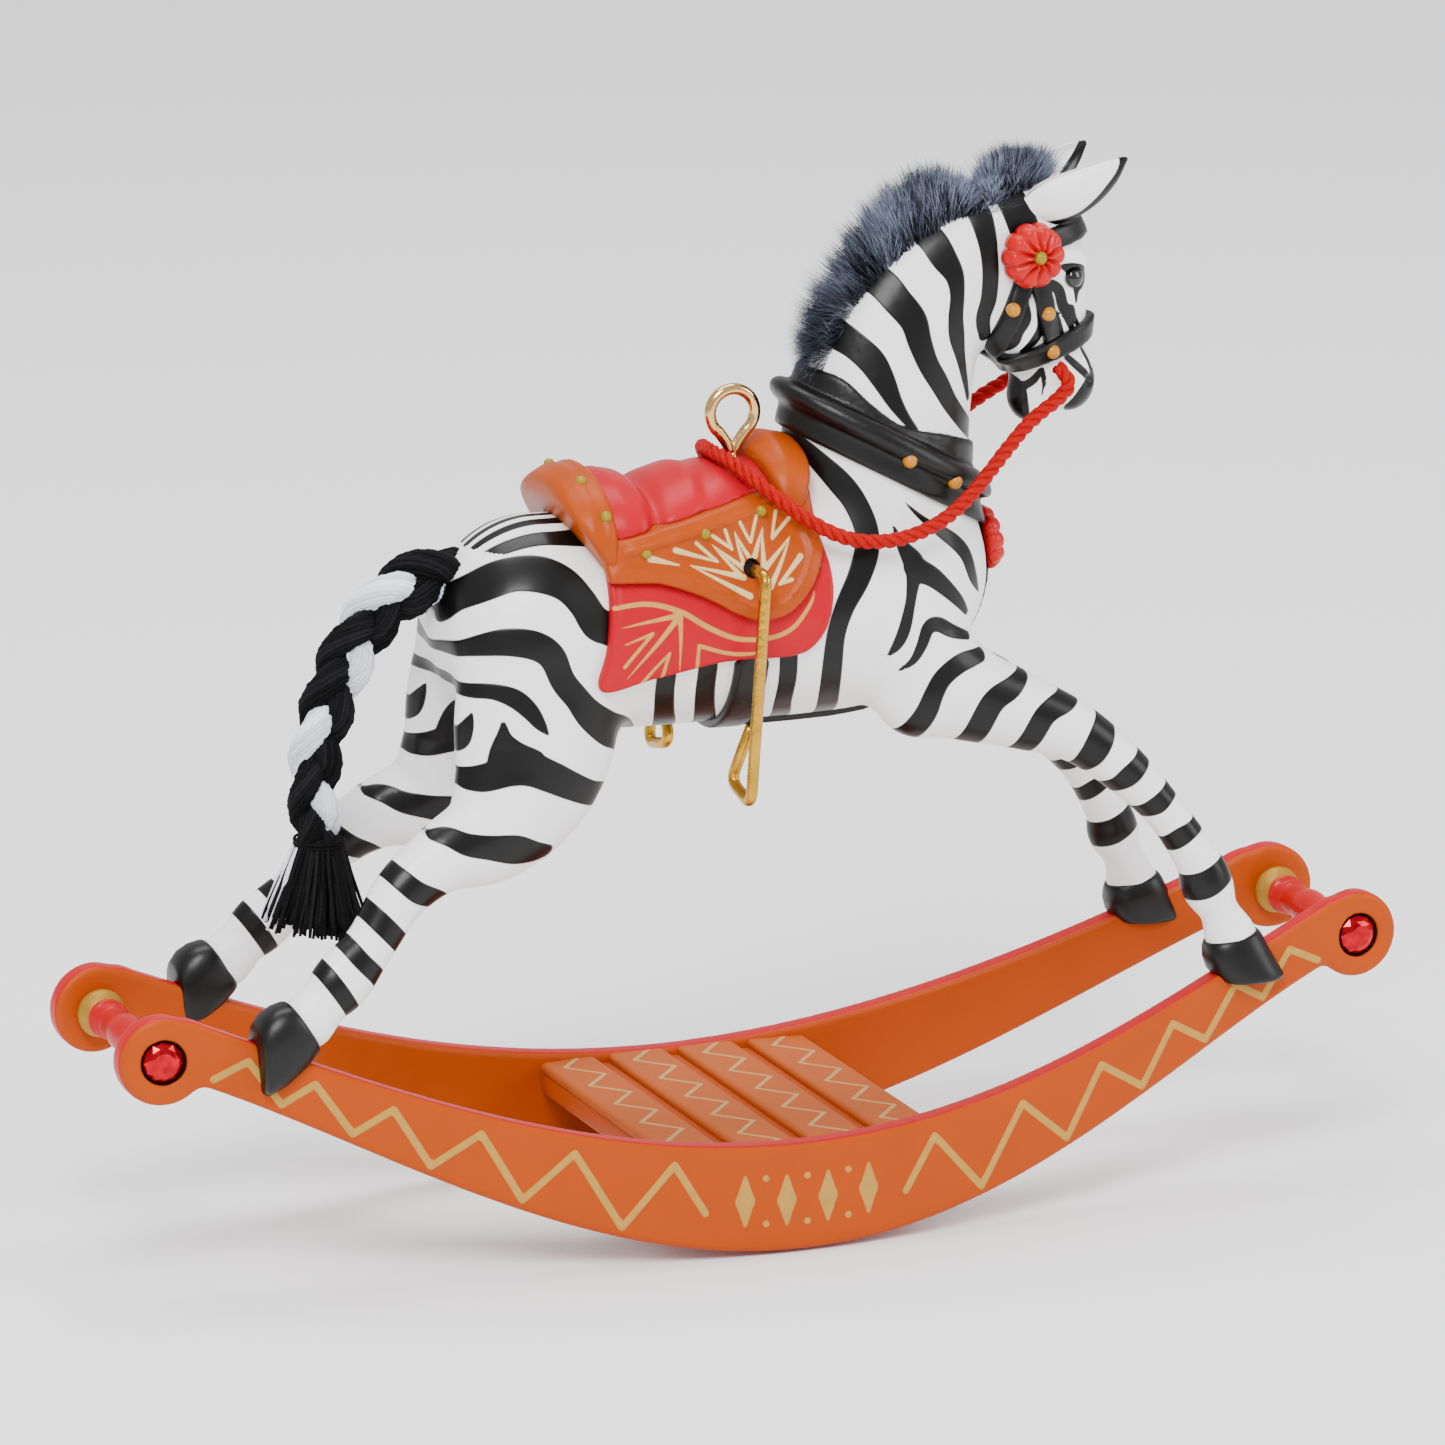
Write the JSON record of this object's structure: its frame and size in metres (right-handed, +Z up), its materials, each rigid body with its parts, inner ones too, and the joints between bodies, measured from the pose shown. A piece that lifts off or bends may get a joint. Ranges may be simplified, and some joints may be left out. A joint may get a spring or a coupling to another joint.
{
  "type": "rocking zebra ornament",
  "caption": "Hanging ornament: a saddled zebra galloping on two bowed rockers, with braided tail, fur mane, corded reins, swinging wire stirrups and a screw-eye loop.",
  "frame": {"origin": "lowest line of the rockers, under the middle of the object", "axes": "+X the way the zebra faces, +Y its left side, +Z up"},
  "size_m": [0.0994, 0.0292, 0.0773],
  "materials": {
    "rocker_paint": "satin painted",
    "slat_paint": "satin painted",
    "red_paint": "satin painted",
    "gold_bead": "metallic paint",
    "ruby_glass": "faceted",
    "coat": "satin painted",
    "hoof_black": "gloss painted",
    "eye_black": "gloss",
    "saddle_red": "satin painted",
    "saddle_leather": "satin painted",
    "stud_gold": "satin painted",
    "harness_black": "satin painted",
    "rosette_red": "gloss painted",
    "stirrup_brass": "polished, worn",
    "loop_brass": "polished",
    "rein_cord": "twisted rayon",
    "mane_fur": "short pile",
    "tail_yarn": "braided wool"
  },
  "bodies": {
    "figure": {"bead_front_left": "gold_bead", "bead_front_right": "gold_bead", "bead_rear_left": "gold_bead", "bead_rear_right": "gold_bead", "breast_strap": "harness_black", "bridle_studs": "stud_gold", "browband": "harness_black", "cheek_rosette_left": "rosette_red", "cheek_rosette_right": "rosette_red", "cheek_strap": "harness_black", "chest_rosette": "rosette_red", "collar": "harness_black", "collar_studs": "stud_gold", "deck_board": "rocker_paint", "deck_slat_1": "slat_paint", "deck_slat_2": "slat_paint", "deck_slat_3": "slat_paint", "deck_slat_4": "slat_paint", "ear_left": "coat", "ear_right": "coat", "eye_left": "eye_black", "eye_right": "eye_black", "front_hoof_left": "hoof_black", "front_hoof_right": "hoof_black", "front_leg_left": "coat", "front_leg_right": "coat", "girth": "harness_black", "hanging_loop": "loop_brass", "head": "coat", "jewel_front_left": "ruby_glass", "jewel_front_right": "ruby_glass", "jewel_rear_left": "ruby_glass", "jewel_rear_right": "ruby_glass", "mane": "mane_fur", "neck": "coat", "noseband": "harness_black", "rear_hoof_left": "hoof_black", "rear_hoof_right": "hoof_black", "rear_leg_left": "coat", "rear_leg_right": "coat", "reins": "rein_cord", "rocker_left": "rocker_paint", "rocker_right": "rocker_paint", "rosette_buttons": "stud_gold", "saddle_blanket": "saddle_red", "saddle_cantle": "saddle_leather", "saddle_flap_left": "saddle_leather", "saddle_flap_right": "saddle_leather", "saddle_pommel": "saddle_leather", "saddle_seat": "saddle_red", "saddle_studs": "stud_gold", "spindle_front": "red_paint", "spindle_rear": "red_paint", "tail_braid": "tail_yarn", "tail_tassel": "tail_yarn", "throat_strap": "harness_black", "torso_left": "coat", "torso_right": "coat"},
    "right_stirrup": {"stirrup_right": "stirrup_brass"},
    "left_stirrup": {"stirrup_left": "stirrup_brass"}
  },
  "joints": [
    {"name": "stirrup_right_swing", "type": "hinge", "parent": "figure", "child": "right_stirrup", "pos_m": [-0.0014, -0.009, 0.0489], "axis": [0, 1, 0], "range_deg": [-25, 25]},
    {"name": "stirrup_left_swing", "type": "hinge", "parent": "figure", "child": "left_stirrup", "pos_m": [-0.0014, 0.009, 0.0489], "axis": [0, 1, 0], "range_deg": [-25, 25]}
  ]
}
